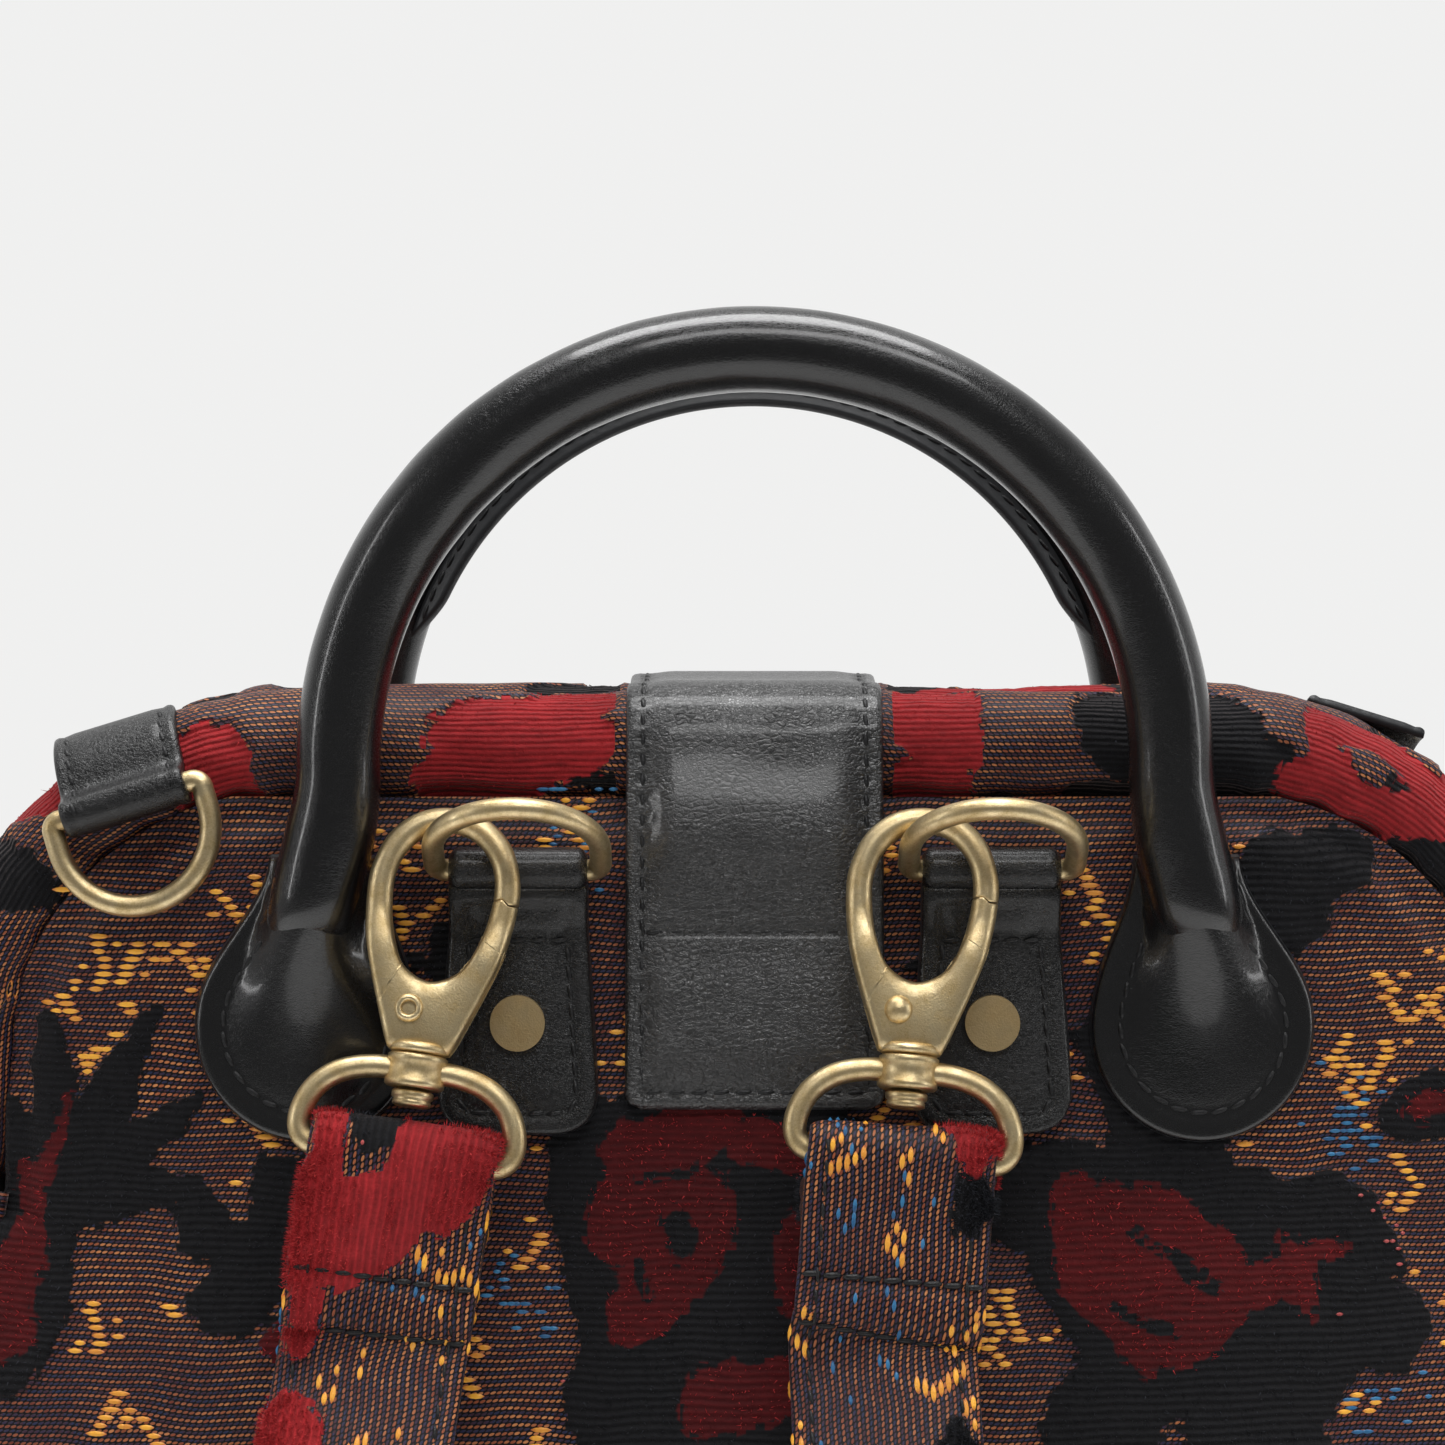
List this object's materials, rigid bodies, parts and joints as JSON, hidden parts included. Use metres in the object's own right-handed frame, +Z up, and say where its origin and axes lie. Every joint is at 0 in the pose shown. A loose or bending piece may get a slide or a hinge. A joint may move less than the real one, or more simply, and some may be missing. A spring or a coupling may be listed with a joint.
{
  "type": "backpack",
  "caption": "Carpet cloth backpack with a hinged frame mouth, rolled leather handles, closure strap, snap hooks and shoulder straps",
  "frame": {"origin": "middle of the base, on the surface the bag stands on", "axes": "+Z up through the handles, -Y towards the shoulder straps and the wearer, +X to the right as seen from the strap side"},
  "size_m": [0.3168, 0.2121, 0.3768],
  "materials": {
    "carpet_cloth": "woven ribbed ground with raised crimson and black velvet flowers",
    "lining": "plain black twill",
    "black_leather": "smooth grained, painted edges, black thread",
    "antique_brass": "antiqued, darker in the hollows",
    "frame_steel": "plain",
    "magnet": "satin",
    "handle_core": "twisted cotton cord",
    "base_board": "pressed fibre board"
  },
  "bodies": {
    "bag": {"back_panel": "carpet_cloth", "front_panel_lower": "carpet_cloth", "left_gusset": "carpet_cloth", "right_gusset": "carpet_cloth", "lining": "lining", "base_panel": "black_leather", "base_board": "base_board", "back_frame_bar": "frame_steel", "frame_rivets": "frame_steel", "back_roll": "carpet_cloth", "back_handle_cover": "black_leather", "back_handle_core": "handle_core", "closure_strap_base": "black_leather", "tab_rivets": "antique_brass", "back_side_tab": "black_leather", "left_ring_tab": "black_leather", "right_ring_tab": "black_leather", "left_hook": "antique_brass", "right_hook": "antique_brass", "left_gate_pin": "antique_brass", "right_gate_pin": "antique_brass", "left_lower_tab": "black_leather", "right_lower_tab": "black_leather", "left_lower_ring": "antique_brass", "right_lower_ring": "antique_brass", "left_strap_end": "carpet_cloth", "right_strap_end": "carpet_cloth", "left_shoulder_strap": "carpet_cloth", "right_shoulder_strap": "carpet_cloth", "left_gusset_pleat": "carpet_cloth", "right_gusset_pleat": "carpet_cloth"},
    "front_frame": {"front_panel_upper": "carpet_cloth", "front_lining": "lining", "front_frame_bar": "frame_steel", "front_roll": "carpet_cloth", "front_handle_cover": "black_leather", "front_handle_core": "handle_core", "catch_magnet": "magnet", "front_side_tab": "black_leather"},
    "closure": {"closure_flap": "black_leather", "flap_magnet": "magnet"},
    "left_ring": {"left_ring": "antique_brass"},
    "right_ring": {"right_ring": "antique_brass"},
    "left_gate": {"left_gate": "antique_brass"},
    "right_gate": {"right_gate": "antique_brass"},
    "left_eye": {"left_eye": "antique_brass", "left_strap_loop": "carpet_cloth"},
    "right_eye": {"right_eye": "antique_brass", "right_strap_loop": "carpet_cloth"},
    "back_side_ring": {"back_side_ring": "antique_brass"},
    "front_side_ring": {"front_side_ring": "antique_brass"}
  },
  "joints": [
    {"name": "mouth", "type": "hinge", "parent": "bag", "child": "front_frame", "pos_m": [0, 0, 0.222], "axis": [-1, 0, 0], "range_deg": [0, 55], "deforming": ["front_panel_upper", "front_lining", "left_gusset_pleat", "right_gusset_pleat"]},
    {"name": "closure_strap", "type": "hinge", "parent": "bag", "child": "closure", "pos_m": [0, -0.0122, 0.3133], "axis": [1, 0, 0], "range_deg": [0, 110]},
    {"name": "left_ring_swing", "type": "hinge", "parent": "bag", "child": "left_ring", "pos_m": [-0.041, -0.03208, 0.279], "axis": [1, 0, 0], "range_deg": [0, 45]},
    {"name": "left_gate_swing", "type": "hinge", "parent": "bag", "child": "left_gate", "pos_m": [-0.05892, -0.04444, 0.25629], "axis": [0, -0.9703, 0.2419], "range_deg": [0, 20], "stiffness_Nm_per_rad": 0.02},
    {"name": "left_swivel", "type": "hinge", "parent": "bag", "child": "left_eye", "pos_m": [-0.053, -0.03878, 0.279], "axis": [0.1392, 0.2396, 0.9609], "range_deg": [-20, 20]},
    {"name": "right_ring_swing", "type": "hinge", "parent": "bag", "child": "right_ring", "pos_m": [0.041, -0.03208, 0.279], "axis": [1, 0, 0], "range_deg": [0, 45]},
    {"name": "right_gate_swing", "type": "hinge", "parent": "bag", "child": "right_gate", "pos_m": [0.02432, -0.04451, 0.25602], "axis": [0, -0.9703, 0.2419], "range_deg": [0, 20], "stiffness_Nm_per_rad": 0.02},
    {"name": "right_swivel", "type": "hinge", "parent": "bag", "child": "right_eye", "pos_m": [0.029, -0.03878, 0.279], "axis": [0.0872, 0.241, 0.9666], "range_deg": [-20, 20]},
    {"name": "back_side_ring_swing", "type": "hinge", "parent": "bag", "child": "back_side_ring", "pos_m": [-0.1096, -0.02845, 0.29073], "axis": [-0.9563, 0, -0.2924], "range_deg": [0, 120]},
    {"name": "front_side_ring_swing", "type": "hinge", "parent": "front_frame", "child": "front_side_ring", "pos_m": [0.1096, 0.02845, 0.29073], "axis": [0.9563, 0, -0.2924], "range_deg": [0, 120]}
  ],
  "couplings": [
    {"joint": "closure_strap", "follows": "mouth", "ratio": 2}
  ]
}
